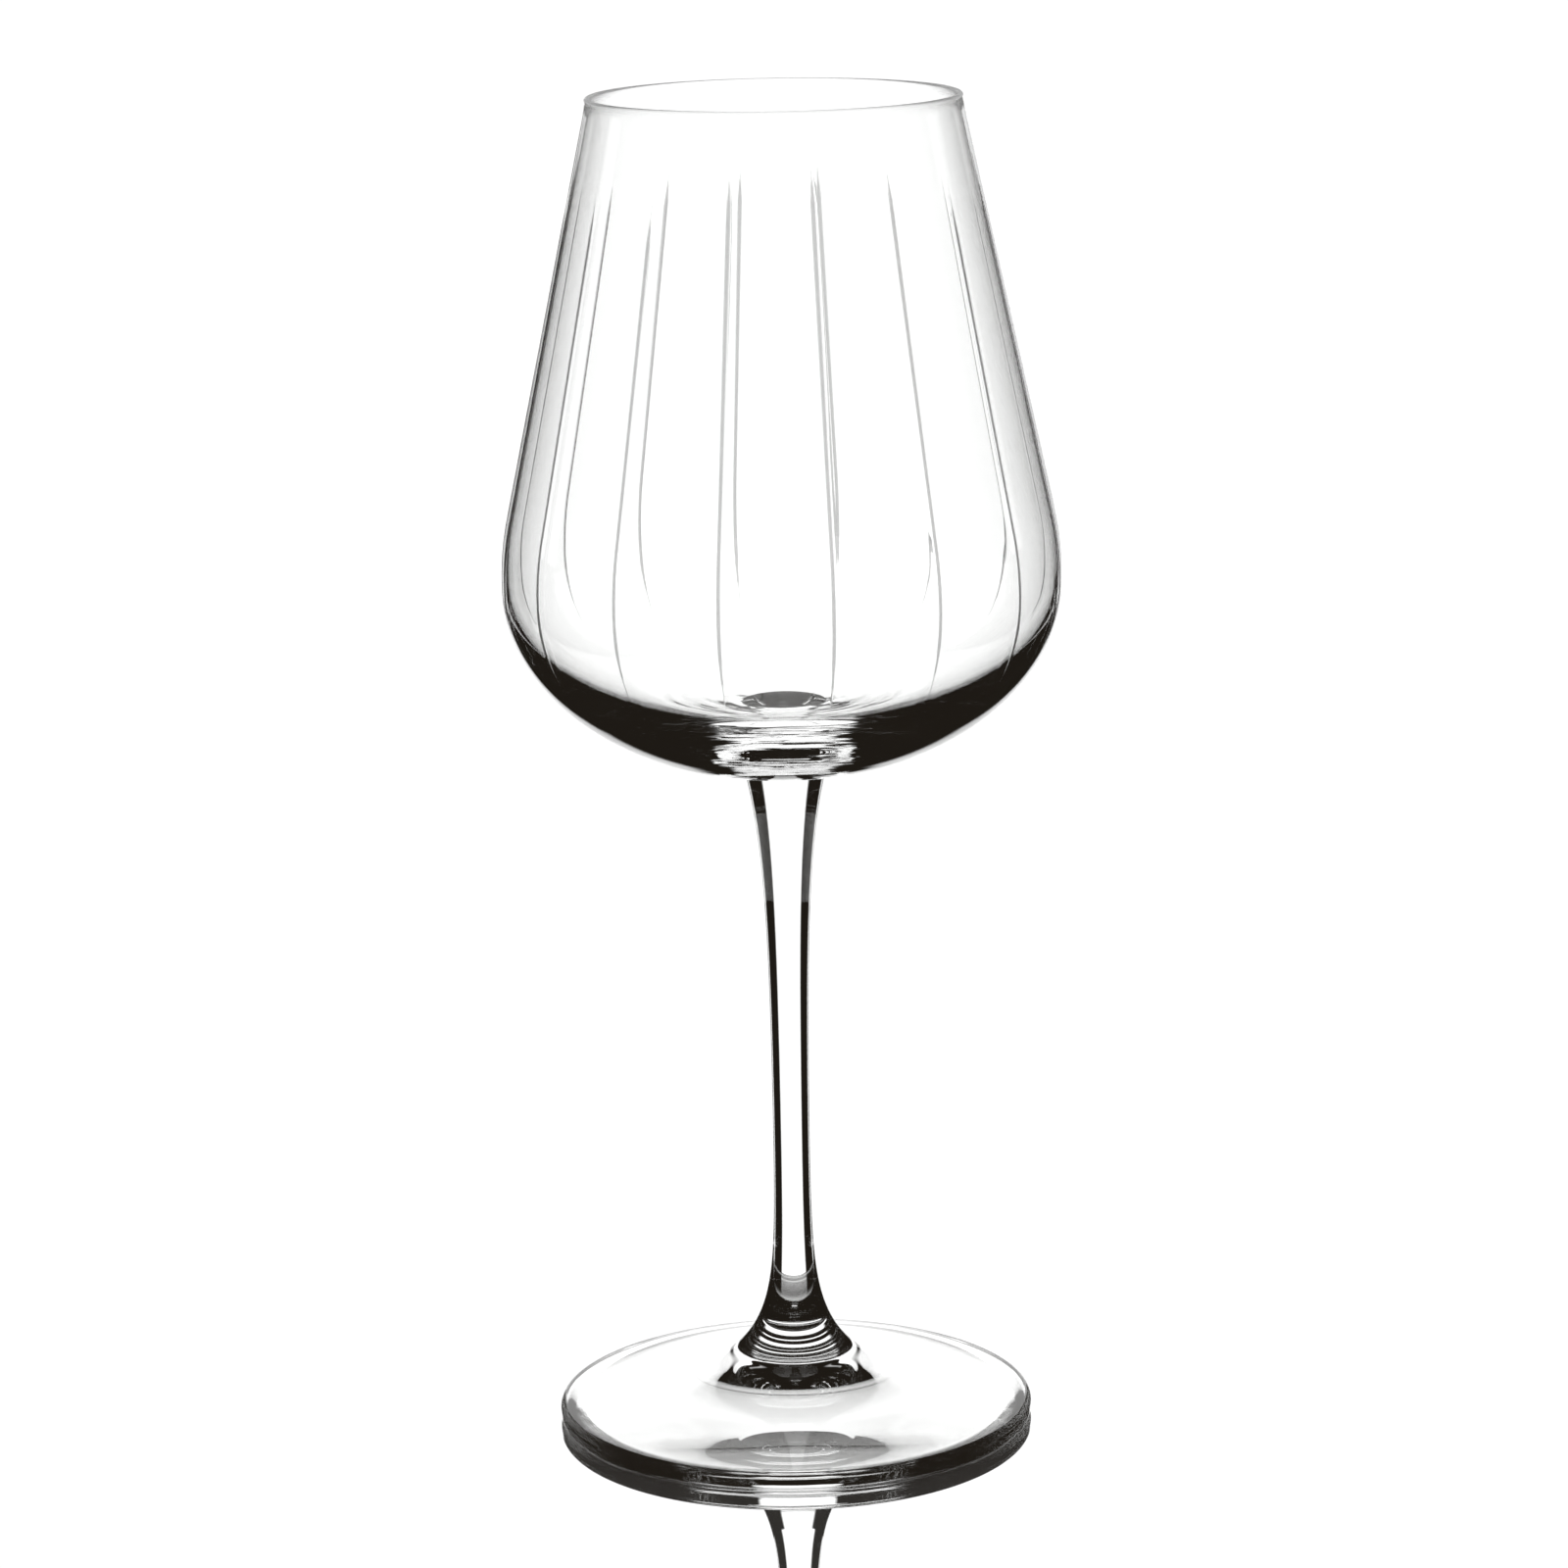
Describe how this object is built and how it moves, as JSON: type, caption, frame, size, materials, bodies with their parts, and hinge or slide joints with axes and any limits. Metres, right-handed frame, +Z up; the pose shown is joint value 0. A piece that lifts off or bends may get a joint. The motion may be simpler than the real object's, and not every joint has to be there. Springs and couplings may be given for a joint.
{
  "type": "wine glass",
  "caption": "Stemmed wine glass in clear crystal: a tapering bowl with a full belly, a slender flared stem and a round flat foot.",
  "frame": {"origin": "on the axis of the glass, in the plane that it stands on", "axes": "+Z up along the axis of the glass, from the foot to the rim; X and Y in the plane that it stands on"},
  "size_m": [0.0932, 0.0932, 0.225],
  "materials": {
    "bowl_crystal": "clear, fire-polished, with fine ground lines",
    "stem_crystal": "clear, polished",
    "foot_crystal": "clear, polished"
  },
  "bodies": {
    "root": {"bowl": "bowl_crystal", "stem": "stem_crystal", "foot": "foot_crystal"}
  },
  "joints": []
}
